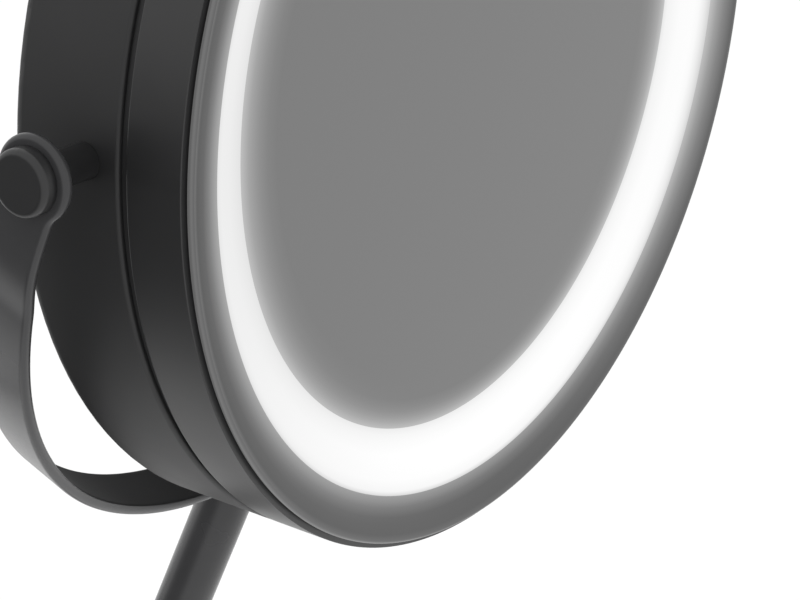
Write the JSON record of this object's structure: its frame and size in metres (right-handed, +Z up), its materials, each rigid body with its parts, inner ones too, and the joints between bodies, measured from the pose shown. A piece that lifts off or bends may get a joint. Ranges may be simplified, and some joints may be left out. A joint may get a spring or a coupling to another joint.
{
  "type": "extendable shaving mirror",
  "caption": "Wall-mounted extendable shaving mirror: a round lit mirror head in a flat fork on a leaning stem, carried by swinging tube arms.",
  "frame": {"origin": "centre of the wall plate's back face, on the wall", "axes": "+Z up, +Y into the wall, -Y out of the wall towards the user; the mirror looks along -Y at rest; +X to the right as seen by the user"},
  "size_m": [0.2764, 0.4516, 0.4371],
  "materials": {
    "satin_black_metal": "fine satin black powder coat",
    "satin_black_cast": "cast aluminium under the same fine satin black powder coat",
    "mirror": "polished silvered glass",
    "light_ring": "frosted opal acrylic, lit from behind",
    "circuit_board": "white solder mask",
    "led_chips": "phosphor window",
    "white_plastic": "moulded white",
    "black_plastic": "fine texture",
    "nylon": "plain",
    "battery_wrap": "shrink sleeve",
    "aluminium": "machined",
    "steel": "zinc plated"
  },
  "bodies": {
    "wall": {"wall_plate": "steel", "wall_cover": "satin_black_metal", "cover_grub_screw": "steel", "wall_bracket": "satin_black_cast", "bracket_screws": "steel", "wall_hinge_bolt": "steel", "wall_hinge_nut": "steel", "wall_hinge_washer": "nylon", "wall_hinge_bottom_cap": "satin_black_cast"},
    "lower_arm": {"wall_hinge_cap": "satin_black_cast", "lower_arm_inner_barrel": "satin_black_cast", "lower_arm_outer_barrel": "satin_black_cast", "lower_arm_tube": "satin_black_metal", "elbow_bolt": "steel", "elbow_nut": "steel", "elbow_washer": "nylon", "elbow_bottom_cap": "satin_black_cast"},
    "upper_arm": {"elbow_cap": "satin_black_cast", "upper_arm_inner_barrel": "satin_black_cast", "upper_arm_outer_barrel": "satin_black_cast", "upper_arm_tube": "satin_black_metal", "end_hinge_bolt": "steel", "end_hinge_nut": "steel", "end_hinge_washer": "nylon", "end_hinge_bottom_cap": "satin_black_cast"},
    "knuckle": {"end_hinge_cap": "satin_black_cast", "swivel_knuckle": "satin_black_cast", "tilt_bolt": "satin_black_metal", "tilt_nut": "satin_black_metal", "tilt_washers": "nylon"},
    "fork": {"stem_eye": "satin_black_cast", "stem_tube": "satin_black_metal", "fork_band": "satin_black_metal", "pivot_washers": "nylon"},
    "head": {"bezel_ring": "satin_black_cast", "frame_ring": "satin_black_cast", "rear_shell": "satin_black_cast", "shell_screws": "steel", "mirror_glass": "mirror", "glass_tape": "nylon", "light_ring": "light_ring", "carrier_tray": "white_plastic", "led_board": "circuit_board", "led_chips": "led_chips", "pivot_blocks": "aluminium", "pivot_spacers": "satin_black_cast", "pivot_bolts": "satin_black_metal", "driver_board": "circuit_board", "board_screws": "steel", "driver_parts": "black_plastic", "tactile_switch": "black_plastic", "charge_socket": "steel", "battery_cells": "battery_wrap", "battery_holder": "white_plastic"},
    "button": {"switch_button": "black_plastic"}
  },
  "joints": [
    {"name": "wall_swing", "type": "hinge", "parent": "wall", "child": "lower_arm", "pos_m": [0, -0.046, 0.0206], "axis": [0, 0, 1], "range_deg": [-40, 130]},
    {"name": "elbow_swing", "type": "hinge", "parent": "lower_arm", "child": "upper_arm", "pos_m": [-0.14142, -0.18742, 0.0412], "axis": [0, 0, -1], "range_deg": [-75, 255]},
    {"name": "end_swivel", "type": "hinge", "parent": "upper_arm", "child": "knuckle", "pos_m": [0, -0.32884, 0.0618], "axis": [0, 0, 1], "range_deg": [-160, 160]},
    {"name": "stem_tilt", "type": "hinge", "parent": "knuckle", "child": "fork", "pos_m": [0, -0.32884, 0.0838], "axis": [1, 0, 0], "range_deg": [-40, 40]},
    {"name": "mirror_tilt", "type": "hinge", "parent": "fork", "child": "head", "pos_m": [0, -0.42143, 0.28887], "axis": [1, 0, 0], "range_deg": [-90, 90]},
    {"name": "button_press", "type": "slide", "parent": "head", "child": "button", "axis": [0, -0.9984, -0.057], "range_m": [0, 0.0008], "stiffness_N_per_m": 1500, "springref_m": -0.0006}
  ]
}
